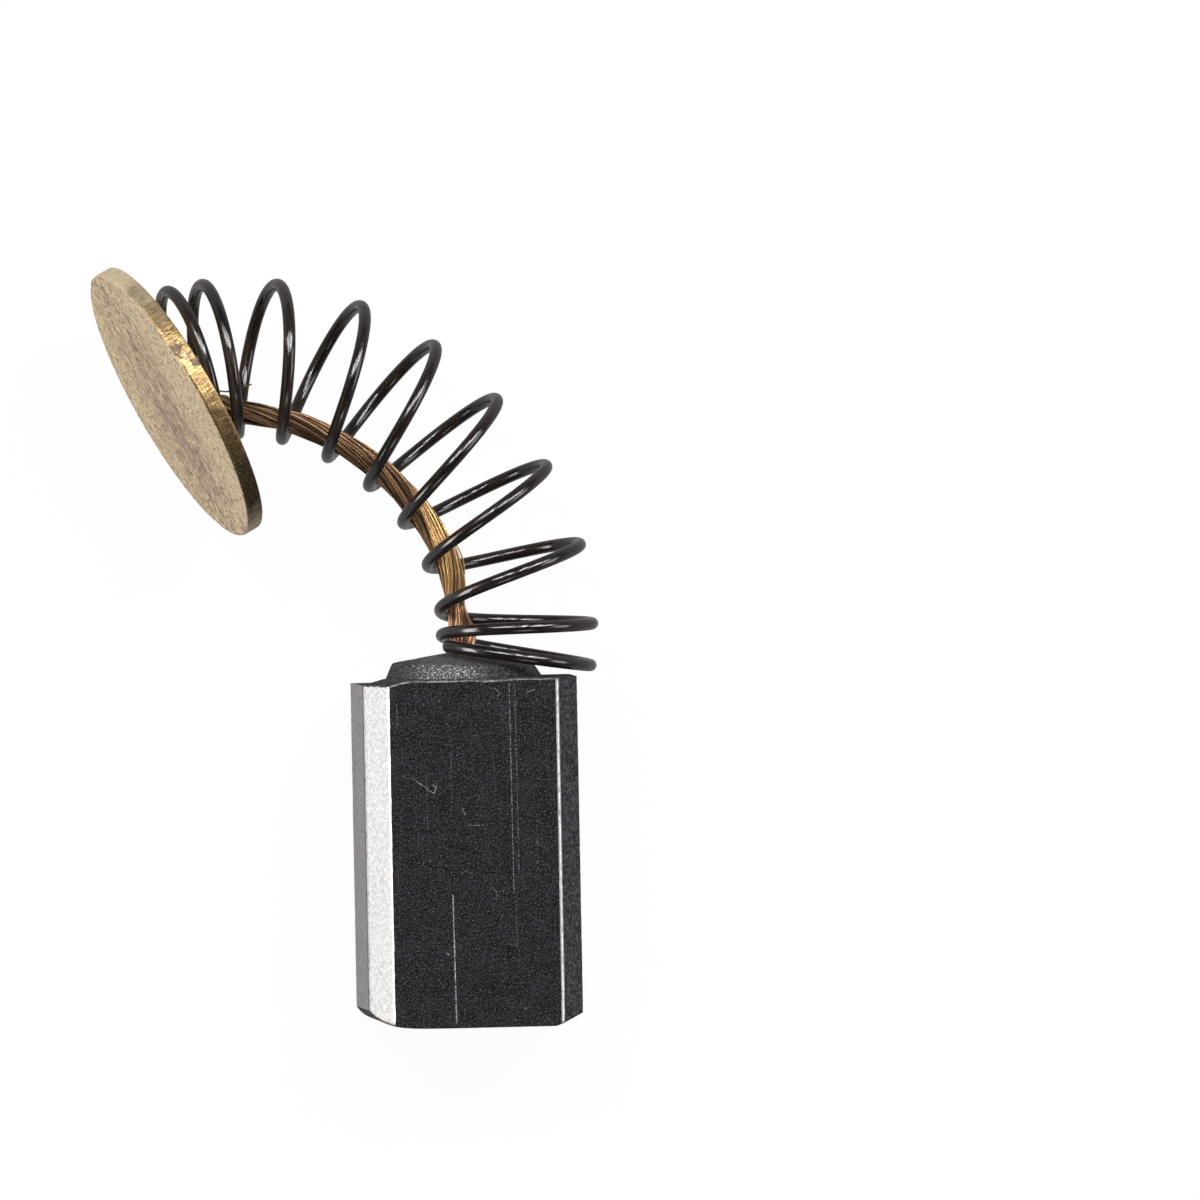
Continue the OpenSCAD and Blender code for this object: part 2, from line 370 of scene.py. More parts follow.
# Floor: a white sheet that keeps a light shadow, and looks dimmer where metal mirrors it.
def makeFloor():
    half, low = worldLook["floorHalf"], worldLook["floorLow"]
    corners = [(-half, -half, low), (half, -half, low), (half, half, low), (-half, half, low)]
    mesh = bpy.data.meshes.new("floor")
    mesh.from_pydata(corners, [], [(0, 1, 2, 3)])
    floor = addObject("floor", mesh)
    material, tree, shader = newMaterial("sheet")
    tree.nodes.remove(shader)
    rays = addNode(tree, "LightPath").outputs
    mirrored = maths(tree, "MAXIMUM", rays["Is Glossy Ray"], rays["Is Transmission Ray"])
    seen = maths(tree, "MAXIMUM", rays["Is Camera Ray"], mirrored)
    strength = blendValue(tree, mirrored, 1, worldLook["floor"])
    paper = addNode(tree, "BsdfDiffuse", {"Color": worldLook["paper"]}).outputs[0]
    glow = addNode(tree, "Emission", {"Color": worldLook["white"], "Strength": strength}).outputs[0]
    plain = times(tree, seen, worldLook["plain"])
    mixed = addNode(tree, "MixShader", {0: plain, 1: paper, 2: glow})
    tree.links.new(mixed.outputs[0], tree.nodes["Material Output"].inputs["Surface"])
    mesh.materials.append(material)


makeLamps()
makeWorld()
makeFloor()
bpy.context.scene.view_settings.view_transform = "Standard"
print("lamps and floor set")

# ---- carbon block
blockLook = {
    "chamferWide": 0.75, "chamferDeep": 1.1,  # long chamfers, on a broad face and on a narrow one
    "wornHigh": 0.58, "wornWide": 0.43, "bevelWide": 1, "bevelHigh": 0.37,  # corners of the contact end
    "lowerRound": 0.02, "edgeSag": 0.045, "wearWide": 0.05,
    "chip": (0.014, 0.008, 0.03),  # depth of the upper edge's chips: everywhere, front waves, left side
    "crownRound": 2.55, "shoulderRound": 2.3, "flankHigh": 0.48, "coneSlope": 11,
    "collarRound": 0.475, "collarHigh": 0.12, "boreRound": 0.375,
    "crownRough": 0.014, "shoulderChip": 0.09,
    # rounding of the long edges, from the right chamfer's front edge round by the left
    "edgeRounds": (0.11, 0.02, 0.05, 0.05, 0.05, 0.05, 0.05, 0.03),
    "sideCounts": (24, 130, 40, 22, 8, 30, 8, 18),  # points on each side, as many as its finish needs
    "sideBurnish": 0.47,
    "darkCarbon": (0.0015, 0.0015, 0.002), "paleCarbon": (0.0255, 0.0255, 0.0275),
    "burnished": (0.90, 0.895, 0.895), "dullMetal": (0.40, 0.385, 0.375), "copperTint": (0.55, 0.26, 0.13),
    "darkPressed": (0.003, 0.003, 0.004), "palePressed": (0.068, 0.068, 0.070),
    "ior": 1.2, "carbonRough": 0.6, "polishedRough": 0.36,
}
# zones of the block's skin from the contact end to the bore, and numbers of its outline's sides
contactEnd, wall, chippedEdge, topFace, crownSkin, boreSkin = range(6)
rightEdge, frontSide, leftChamfer, leftEdge, leftSide = 0.5, 1, 2, 2.5, 3


# Outline of the block's section: straight sides joined by arcs at the corners. Gives the points,
# the distance of each to the nearest corner, and the number of the side that it lies on.
def blockOutline(corners, roundings, counts, arcPoints):
    points, edge, side = [], [], []
    n = len(corners)
    for i in range(n):
        a, b, c = corners[i], corners[(i + 1) % n], corners[(i + 2) % n]
        before, after = unit(b - a), unit(c - b)
        turn = np.arccos(np.clip(before @ after, -1, 1))
        rounding = roundings[i]
        cut = rounding * np.tan(turn / 2)
        start, stop = a + before * roundings[i - 1] * np.tan(turn / 2), b - before * cut
        share = (np.arange(counts[i]) + 0.5) / counts[i]
        share = 0.5 - 0.5 * np.sign(0.5 - share) * np.abs(1 - 2 * share) ** 0.9  # a little denser at the ends
        run = start + share[:, None] * (stop - start)
        points.append(run)
        edge.append(np.minimum(share, 1 - share) * np.linalg.norm(stop - start))
        side.append(np.full(counts[i], i))
        around = turn * np.arange(arcPoints) / (arcPoints - 1)
        inward = np.array([-before[1], before[0]]) * np.sign(before[0] * after[1] - before[1] * after[0])
        centre = stop + inward * rounding
        ahead = np.sin(around)[:, None] * before
        points.append(centre - rounding * np.cos(around)[:, None] * inward + rounding * ahead)
        edge.append(np.zeros(arcPoints))
        side.append(np.full(arcPoints, i + 0.5))
    return np.concatenate(points), np.concatenate(edge), np.concatenate(side)


# Height of the contact end under a point across the block: it rises towards the worn corner
# as e^(-distance / width), and evenly over the bevel at the other corner.
def contactHeight(x, half, low, look):
    worn = look["wornHigh"] * np.exp(-(half + x) / look["wornWide"])
    return low + worn + look["bevelHigh"] * np.clip((x - half + look["bevelWide"]) / look["bevelWide"], 0, 1)


# Height of the top face, which sinks a little towards the back and beyond the crown's left.
def topHeight(x, z, top):
    return top - 0.09 * smooth(-z / 3) - 0.14 * smooth((-2.1 - x) / 0.7)


# Scratches on the front face: strength, half width and the points that each passes, in mm.
scratches = [
    (1, 0.030, [(-0.80, -1.34), (-0.76, -5.5)]),
    (0.45, 0.022, [(1.16, 5.5), (1.19, -1.3)]),
    (0.3, 0.018, [(1.34, 5.5), (1.36, 1.7), (1.37, -0.6)]),
    (0.22, 0.016, [(1.24, -1.4), (1.27, -3)]),
    (0.55, 0.026, [(-2.03, 2.48), (-1.36, 1.98), (-1.27, 2.2), (-1.40, 2.26)]),
    (0.4, 0.022, [(-0.25, 0.93), (0.3, 0.91)]),
    (0.35, 0.03, [(-0.44, 1.48), (-0.36, 1.28)]),
    (0.3, 0.03, [(0.66, 5.35), (0.86, 5.2), (0.8, 5.1)]),
    (0.35, 0.03, [(1.75, 5.2), (2.02, 5.3)]),
    (0.18, 0.014, [(-1.6, 2.6), (-1.58, 0.8)]),
    (0.14, 0.014, [(-0.78, 3.2), (-0.8, 1.2)]),
    (0.16, 0.014, [(2, 1.2), (1.98, -0.9)]),
    (0.2, 0.018, [(1.9, 0.35), (2.35, 0.05)]),
    (0.3, 0.02, [(-2.52, 4.9), (-2.5, 4.1)]),
    (0.5, 0.045, [(-1.04, -3.2), (-0.98, -3.26)]),
    (0.5, 0.03, [(-1.54, -0.2), (-1.53, -0.22)]),
    (0.25, 0.02, [(0.35, -1.2), (0.5, -1.1), (0.62, -1.25), (0.6, -1.5)]),
    (0.2, 0.02, [(-0.5, -0.62), (-0.3, -0.56), (-0.16, -0.66)]),
]


# Crown's profile, as radius and height above its foot: steep flank, cone, collar and bore.
def crownProfile(look, coneTop):
    foot, shoulder, flank = look["crownRound"], look["shoulderRound"], look["flankHigh"]
    collar, bore, lip = look["collarRound"], look["boreRound"], coneTop + look["collarHigh"]
    slope = np.tan(np.radians(look["coneSlope"]))
    cone = np.r_[np.linspace(shoulder - 0.02, 0.75, 26), np.linspace(0.72, collar + 0.1, 3)]
    profile = [(foot, 0.012)]
    profile += [(foot - (foot - shoulder) * share, flank * share) for share in np.linspace(0.1, 0.93, 10)]
    profile += [(r, flank + (shoulder - r) * slope) for r in cone]
    profile += [(collar + 0.03, coneTop + 0.05), (collar, coneTop + look["collarHigh"] * 0.8)]
    profile += [(collar - 0.03, lip), (bore + 0.01, lip), (bore, lip - 0.02)]
    return profile + [(bore, coneTop - 0.5), (bore, coneTop - 1)]


# Block: rows of its outline from the middle of the contact end, up the wall, over the top face
# and the crown and down the bore, with chips, wear and grain worked into them.
def makeBlock(look):
    low, high = (np.array(corner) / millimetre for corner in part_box("carbon_block"))
    half, middle = (high[0] - low[0]) / 2, (high[2] + low[2]) / 2
    thick = middle - low[2]
    flank, shoulder = look["flankHigh"], look["shoulderRound"]
    coneTop = flank + (shoulder - look["collarRound"]) * np.tan(np.radians(look["coneSlope"]))
    top = high[1] - coneTop - look["collarHigh"]
    x, z = half - look["chamferWide"], thick - look["chamferDeep"]
    near = np.array([(half, z), (x, thick), (-x, thick), (-half, z)])
    section, edge, side = blockOutline(np.r_[near, -near], look["edgeRounds"], look["sideCounts"], 6)
    columns = len(section)
    along = np.cumsum(np.r_[0, np.linalg.norm(np.diff(section, axis=0), axis=1)])
    reach = np.linalg.norm(section, axis=1)
    around = unit(section)
    bottom = contactHeight(section[:, 0], half, low[1], look)

    # chips along the top edge: waves on the front, ragged on the left
    onFront = ((side >= rightEdge) & (side <= frontSide + 0.5)).astype(float)
    onLeft = ((side > frontSide + 0.4) & (side < leftSide + 0.1)).astype(float)
    wave = 0.5 * noiseOf(along, 0, 1.7, 0, 5) + 0.3 * noiseOf(along, 0, 4.3, 0, 6)
    wave = wave + 0.2 * noiseOf(along, 0, 11, 0, 8)
    ragged = 0.5 + 0.5 * noiseOf(along, 0, 8, 0, 7)
    everywhere, waved, broken = look["chip"]
    chip = everywhere + waved * (1 + wave) * onFront + onLeft * broken * ragged

    rows, zone = [], []

    # Row of points over places across the block, at a height
    def addRow(flat, height, kind):
        rows.append(np.stack([flat[:, 0], np.broadcast_to(height, (columns,)), middle + flat[:, 1]], -1))
        zone.append(kind)

    # The outline drawn in by a depth
    def drawnIn(depth):
        return section * (1 - depth / reach)[:, None]

    lowerRound = look["lowerRound"]
    # contact end: the outline shrinks to its middle
    for share in np.linspace(0.05, 1, 16):
        scaled = section * share * (1 - lowerRound / reach)[:, None]
        addRow(scaled, contactHeight(scaled[:, 0], half, low[1], look), contactEnd)
    # lower edge, a quarter round
    for angle in np.radians([30, 60]):
        height = bottom + lowerRound * (1 - np.cos(angle))
        addRow(drawnIn(lowerRound * (1 - np.sin(angle))), height, contactEnd)
    edgeTop = topHeight(section[:, 0], section[:, 1], top) - look["edgeSag"] * (1 + wave) * onFront
    wallStart, wallStop = bottom + lowerRound, edgeTop - chip
    for share in np.concatenate([np.linspace(0, 0.95, 130, endpoint=False), np.linspace(0.95, 1, 40)]):
        addRow(drawnIn(0), wallStart + (wallStop - wallStart) * share, wall)
    for share in (0.25, 0.5, 0.75, 1):
        rough = 0.3 * chip * noiseOf(along, share, 13, 3, 9) * (share < 1)
        addRow(drawnIn(chip * 0.7 * share ** 1.5 + rough), edgeTop - chip * (1 - share), chippedEdge)
    # top face, from the outline to the crown's foot
    for share in np.linspace(0.12, 1, 9):
        start = drawnIn(0.7 * chip)
        place = start + (around * (look["crownRound"] + 0.03) - start) * share
        addRow(place, topHeight(*place.T, top), topFace)
    for r, height in crownProfile(look, coneTop):
        place = around * r
        lifted = min(1, height / flank)
        level = (1 - lifted) * topHeight(*place.T, top) + lifted * (top - 0.024 * (place[:, 0] + shoulder))
        addRow(place, level + height, crownSkin if r > look["boreRound"] + 0.02 else boreSkin)
    rows = np.array(rows)
    zone = np.array(zone)[:, None] * np.ones(columns)
    x, y, z = rows[..., 0], rows[..., 1], rows[..., 2]

    # long edges are worn a little, unevenly
    onWall = (zone == wall)
    wear = np.exp(-(edge / look["wearWide"]) ** 2) * onWall
    dent = wear * (0.006 + 0.022 * np.maximum(0, noiseOf(along, y, 0.9, 5, 11) - 0.15))
    rows[..., 0] -= dent * np.sign(section[:, 0]) * 0.7
    rows[..., 2] -= dent * np.sign(section[:, 1]) * 0.7
    # the crown is coarse, as pressed: it swells and sinks between grains
    onCrown = (zone == crownSkin)
    pressed = (onCrown | (zone == chippedEdge) | (zone == topFace)).astype(float)
    fromAxis = np.hypot(x, z - middle)
    coarse = noise(rows * 6.5, 21) * 0.55 + noise(rows * 14, 22) * 0.45
    fade = pressed * smooth((fromAxis - 0.5) / 0.3)
    rows[..., 1] += look["crownRough"] * coarse * fade * np.where(onCrown, 1, 0.25)
    # chips at the crown's shoulder
    ringAngle = np.arctan2(z - middle, x)
    broken = np.maximum(0, noiseAt(np.cos(ringAngle) * 5, np.sin(ringAngle) * 5, 0.2, 31) - 0.1)
    rows[..., 1] -= look["shoulderChip"] * (np.exp(-((fromAxis - shoulder) / 0.09) ** 2) * onCrown * broken)

    # burnished metal shows on the left chamfer, up to ragged chips, and a little on the left side
    spot = np.stack([along * 5.5 + 0 * y, y * 5.5, np.zeros(y.shape)], -1)
    ragged = 0.5 * noise(spot, 41) + 0.3 * noise(spot * 2.3, 42) + 0.2 * noise(spot * 5, 44)
    upper = smooth((wallStop - 0.012 - y + 0.05 * ragged) / 0.02)
    lower = smooth((y - bottom - 0.04 + 0.05 * ragged) / 0.02)
    burnish = ((side > 1.5) & (side < leftEdge)) * onWall * (upper * lower)
    burnish = burnish + look["sideBurnish"] * (side == leftSide) * onWall * (0.85 + 0.15 * ragged)
    bright = (side == rightEdge) * onWall * smooth((y - bottom - 0.03) / 0.03) * smooth((wallStop - y) / 0.03)
    bright = bright * smooth(1.1 + 1.2 * noiseOf(y, along, 4, 60, 43))
    copper = (side == leftChamfer) * smooth(1 - (y - bottom - 0.05 + 0.05 * ragged) / 0.06)
    copper = np.maximum(copper * smooth((y - bottom) / 0.03), 0.8 * (side == leftEdge) * onWall)
    masks = {
        "burnish": burnish, "bright": bright, "copper": copper,
        "chipped": (zone == chippedEdge) * onFront * smooth(chip / 0.03),
        "front": onFront * onWall,
        "crown": onCrown,
        "flank": onCrown * smooth((fromAxis - shoulder + 0.12) / 0.1),
        "dull": (zone == topFace) | ((zone == chippedEdge) & (onFront == 0)),
    }
    values = {name: np.r_[mask.astype(float).ravel(), 0, 0] for name, mask in masks.items()}
    piece = buildPiece("blockSkin", closedShell(rows), makeCarbon(look), values)
    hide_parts("carbon_block")


# Carbon: near-black with fine pale grains; burnished metal shows where it slides in the holder.
def makeCarbon(look):
    material, tree, shader = newMaterial("carbon")
    place = addNode(tree, "TexCoord").outputs["Object"]
    masks = ("burnish", "bright", "chipped", "front", "crown", "flank", "dull", "copper")
    burnish, bright, chipped, front, crown, flank, dull, copper = (stored(tree, name) for name in masks)
    grain = noised(tree, place, 15000, 2, 0.65)
    coarse = noised(tree, place, 9000, 4, 0.75)
    cloud = noised(tree, place, 1500)
    cloudy = ranged(tree, cloud, 0.32, 0.68, -0.24, 0.20)
    tone = maths(tree, "ADD", ranged(tree, grain, 0.42, 0.62), cloudy, clamp=True)
    colour = blendColour(tree, tone, look["darkCarbon"], look["paleCarbon"])
    colour = laidOver(tree, colour, flecks(tree, place, 21000, 0.59, 0.67), 0.65, (0.16, 0.16, 0.165))
    onSides = times(tree, ranged(tree, coarse, 0.48, 0.58), maths(tree, "SUBTRACT", 0.7, front), clamp=True)
    colour = blendColour(tree, onSides, colour, (0.105, 0.105, 0.11))
    lined = flecks(tree, stretched(tree, place, (1, 0.03, 1)), 17000, 0.60, 0.72)
    colour = laidOver(tree, colour, lined, 0.16, (0.10, 0.10, 0.11))
    colour = laidOver(tree, colour, flecks(tree, place, 11000, 0.695, 0.75), 0.6, (0.30, 0.30, 0.31))
    # crown: pressed grains with a painted highlight, a paler band a little left of its axis where the
    # sparkling grains are also thickest, and more sparkle on the steep flank, painted light there too
    spot = addNode(tree, "SeparateXYZ", {"Vector": place}).outputs
    middle = ranged(tree, awayFrom(tree, spot["X"], -0.0007), 0.0016, 0.0002, kind="SMOOTHSTEP")
    pressed = blendColour(tree, ranged(tree, grain, 0.40, 0.64), look["darkPressed"], look["palePressed"])
    # painted highlight: paler grey laid over the crown a little left of its axis
    pressed = laidOver(tree, pressed, middle, ranged(tree, coarse, 0.38, 0.62, 0.1, 0.7), (0.12, 0.12, 0.12))
    sparklesAndPaintedHighlight = times(tree, flecks(tree, place, 19000, 0.54, 0.64), ranged(tree, middle, 0, 1, 0.08, 1))
    # painted light: the sparkle is stronger on the steep flank, so the flank reads lighter
    pressed = laidOver(tree, pressed, sparklesAndPaintedHighlight, ranged(tree, flank, 0, 1, 0.25, 1), (0.55, 0.55, 0.55))
    colour = blendColour(tree, crown, colour, pressed)
    colour = laidOver(tree, colour, chipped, ranged(tree, coarse, 0.40, 0.56, 0.2, 1), (0.34, 0.34, 0.345))
    # scratches: lines across the front, broken into grains
    flat = stretched(tree, place, (1000, 1000, 0))
    marks = None
    for strength, wide, line in scratches:
        for start, end in zip(line[:-1], line[1:]):
            given = {"Place": flat, "Start": (*start, 0), "End": (*end, 0), "Wide": wide}
            made = addNode(tree, "Group", given, node_tree=lineGroup)
            mark = times(tree, made.outputs[0], strength)
            marks = mark if marks is None else maths(tree, "MAXIMUM", marks, mark)
    grainy = times(tree, front, ranged(tree, grain, 0.42, 0.58, 0.15, 1))
    colour = laidOver(tree, colour, marks, grainy, (0.50, 0.50, 0.51))
    # the burnish is worn through in pits; it is thin, and grainy, on the left side
    pits = flecks(tree, place, 13000, 0.60, 0.70)
    thin = maths(tree, "LESS_THAN", burnish, 0.5)
    worn = blendValue(tree, thin, times(tree, pits, 0.5), ranged(tree, grain, 0.40, 0.62, 0.62, 0.12))
    clear = times(tree, burnish, maths(tree, "SUBTRACT", 1, worn), clamp=True)
    polished = maths(tree, "MAXIMUM", clear, bright)
    rubbed = ranged(tree, coarse, 0.42, 0.66, 0, 0.65)
    metal = blendColour(tree, rubbed, look["burnished"], look["dullMetal"])
    metal = laidOver(tree, metal, copper, 0.8, look["copperTint"])
    rough = blendValue(tree, polished, look["carbonRough"], look["polishedRough"])
    rough = blendValue(tree, maths(tree, "MAXIMUM", dull, chipped), rough, 1)
    colour = blendColour(tree, polished, colour, metal)
    feed(tree, shader, {"Base Color": colour, "Metallic": polished, "Roughness": rough, "IOR": look["ior"]})
    bumped(tree, shader, grain, 0.5, 0.00001)
    return material


makeBlock(blockLook)
print("carbon block made")

# ---- coil spring
springLook = {
    "coilRound": 2.45, "wireRound": 0.2, "turns": 9.95, "firstTurn": 0.05,
    "closedTurns": 0.4, "closedPitch": 0.34, "blockRamp": 1.8, "discRamp": 2,
    "discTurn": 208, "discLift": 8, "blockTilt": 11, "discTilt": 13, "lean": -0.19, "settle": 2,
    "start": (1.720, 6.202, 3), "end": (-9.004, 15.973, 3.716),
    "bowStart": (0.77, 5.84, 0), "bowEnd": (5.19, 1.34, 0.57),
    "ringsPerTurn": 84, "sides": 20,
    "pitDeep": 0.008, "drawMark": 0.0003,  # pits as a share of the wire's radius, draw marks in mm
    "cutEnd": ((0.93, 0.012), (0.55, 0.02), (0.15, 0.016)),  # rounded lip and flat cut: share, way out
    "oxide": (0.004, 0.0035, 0.0035), "brownOxide": (0.016, 0.009, 0.007), "rubbed": (0.04, 0.038, 0.037),
    "ior": 1.75,
}


# Outward direction of the contact disc, from its turn about Z and its lift.
def discDirection(look):
    turn, lift = np.radians(look["discTurn"]), np.radians(look["discLift"])
    return np.array([np.cos(lift) * np.cos(turn), np.cos(lift) * np.sin(turn), np.sin(lift)])


# Cubic curve through the start and end, bowed out by its two inner points, and its direction.
def routeAt(look, share):
    start, end = np.array(look["start"]), np.array(look["end"])
    p = [start, start + look["bowStart"], end + look["bowEnd"], end]
    u = np.asarray(share, float)[..., None]
    place = (1 - u) ** 3 * p[0] + 3 * (1 - u) ** 2 * u * p[1] + 3 * (1 - u) * u ** 2 * p[2] + u ** 3 * p[3]
    way = (1 - u) ** 2 * (p[1] - p[0]) + 2 * (1 - u) * u * (p[2] - p[1]) + u ** 2 * (p[3] - p[2])
    return place, way


# Share of the route passed by a turn. Every turn travels the closed pitch, and the rest of the
# route's length goes to the open turns, whose pitch grows evenly over a ramp beyond each closed end.
def routeShare(look, turn):
    def opened(t, ramp):
        q = np.maximum(0, t - look["closedTurns"])
        return np.where(q < ramp, q * q / (2 * ramp), q - ramp / 2)

    def gained(t):
        fromDisc = opened(look["turns"], look["discRamp"]) - opened(look["turns"] - t, look["discRamp"])
        return opened(t, look["blockRamp"]) - t + fromDisc

    steps = np.linspace(0, 1, 201)
    lengths = np.r_[0, np.cumsum(np.linalg.norm(np.diff(routeAt(look, steps)[0], axis=0), axis=1))]
    spare = lengths[-1] - look["closedPitch"] * look["turns"]
    travelled = look["closedPitch"] * turn + spare * gained(turn) / gained(look["turns"])
    return np.interp(travelled, lengths, steps)


# Middle of the wire: a circle round the route, in a plane that is square to it and settles
# onto the crown at one end and the disc at the other.
def coilLine(look, turn):
    place, way = routeAt(look, routeShare(look, turn))
    level = unit(way[:, :2])
    free = unit(np.c_[level, look["lean"] * (1 - turn / look["turns"])])
    disc = discDirection(look)
    blockWay = unit(np.array([np.tan(np.radians(look["blockTilt"])), 1, 0]))
    discWay = unit(disc + np.tan(np.radians(look["discTilt"])) * np.array([disc[1], -disc[0], 0]))
    atBlock = smooth(1 - turn / look["settle"])[:, None]
    atDisc = smooth(1 - (look["turns"] - turn) / look["settle"])[:, None]
    normal = unit((free * (1 - atBlock) + blockWay * atBlock) * (1 - atDisc) + discWay * atDisc)
    outward = unit(np.cross(normal, upward))
    angle = np.radians(180 - 360 * turn)[:, None]
    arm = np.cos(angle) * outward + np.sin(angle) * np.cross(outward, normal)
    return place + look["coilRound"] * arm, arm


# Round skin along a line: rings square to it, with their first side towards `side`.
def skinRows(line, side, radius, sides):
    way = unit(np.gradient(line, axis=0))
    first = unit(side - way * (side * way).sum(-1, keepdims=True))
    second = np.cross(way, first)
    angle = 2 * np.pi * np.arange(sides) / sides
    ring = np.cos(angle)[:, None] * first[:, None] + np.sin(angle)[:, None] * second[:, None]
    return line[:, None] + radius[..., None] * ring


def makeSpring(look):
    count = round((look["turns"] - look["firstTurn"]) * look["ringsPerTurn"])
    turn = np.linspace(look["firstTurn"], look["turns"], count)
    line, arm = coilLine(look, turn)
    angle = 2 * np.pi * (np.arange(look["sides"]) / look["sides"])
    length = 2 * np.pi * look["coilRound"] * turn
    # drawn wire is true to a few microns, with small scale pits and faint draw marks
    a, x, y = length[:, None], np.cos(angle) * 0.9, np.sin(angle) * 0.9
    pit = np.maximum(0, noiseAt(a * 7, x * 4, y * 4, 51) - 0.45)
    radius = look["wireRound"] * (1 - look["pitDeep"] * pit)
    radius = radius + look["drawMark"] * noiseAt(a * 2.2, x * 5, y * 5, 52)
    rows = skinRows(line, arm, radius, look["sides"])
    lips = []
    for place, inward in ((0, 1), (-1, -1)):
        way = unit(line[place] - line[place + inward])
        middle = rows[place].mean(0)
        lips.append([middle + (rows[place] - middle) * share + way * out for share, out in look["cutEnd"]])
    rows = np.concatenate([np.array(lips[0][::-1]), rows, np.array(lips[1])])
    # places on the wire for its finish: length along it and way round it
    along = np.r_[np.full(3, length[0]), length, np.full(3, length[-1])]
    flow = np.stack(np.broadcast_arrays(along[:, None], np.cos(angle), np.sin(angle)), -1)
    flow = np.concatenate([flow.reshape(-1, 3), [[along[0], 0, 0], [along[-1], 0, 0]]])
    piece = buildPiece("springWire", closedShell(rows), makeOxide(look), {"flow": flow})
    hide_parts("spring")


# Tempered wire: near-black oxide with brown patches, grainy, and glossier in short streaks.
def makeOxide(look):
    material, tree, shader = newMaterial("temperedWire")
    place = stored(tree, "flow", "Color")
    cloud = ranged(tree, noised(tree, place, (0.5, 0.9, 0.9)), 0.40, 0.62)
    grain = noised(tree, place, (16, 4, 4), 3, 0.75)
    streak = noised(tree, place, (2.2, 2, 2), 1, 0.5)
    drawn = noised(tree, place, (1, 9, 9), 3, 0.7)
    colour = blendColour(tree, cloud, look["oxide"], look["brownOxide"])
    colour = blendColour(tree, ranged(tree, grain, 0.50, 0.66, 0, 0.12), colour, look["rubbed"])
    gloss = ranged(tree, streak, 0.42, 0.60, 0.13, 0.25)
    rough = maths(tree, "ADD", gloss, ranged(tree, grain, 0.3, 0.7, -0.005, 0.005))
    feed(tree, shader, {"Base Color": colour, "Roughness": rough, "IOR": look["ior"]})
    bumped(tree, shader, maths(tree, "ADD", grain, times(tree, drawn, 0.8)), 0.008, 0.00001)
    return material


makeSpring(springLook)
print("coil spring made")

# ---- contact disc
discLook = {
    "round": 4.85, "thick": 0.55, "edgeRound": 0.1, "backBurr": 0.03, "middle": (-9.16, 14.95, 4.803),
    "columns": 420, "punchMarks": 0.007, "dish": 0.03, "nickDown": 0.05, "nickIn": 0.045,
    "burrAt": 3.38, "burrWide": 0.022, "burrOut": 0.05,  # angle round the disc, in radians, and size
    "faceBrass": (0.54, 0.41, 0.25), "stain": (0.25, 0.165, 0.13), "paleFace": (0.76, 0.62, 0.41),
    "shortFleck": (0.11, 0.075, 0.05), "longFleck": (0.17, 0.105, 0.085), "faceGrain": (0.22, 0.17, 0.115),
    "rimBrass": (0.40, 0.25, 0.11), "rimPaintedShade": (0.085, 0.064, 0.035), "rimBeige": (0.55, 0.45, 0.30),
    "rimPaintedHighlight": (0.85, 0.58, 0.26), "rimMauve": (0.16, 0.11, 0.11),
    "rimSpeck": (0.36, 0.28, 0.15), "rimMark": (0.07, 0.045, 0.02),
}


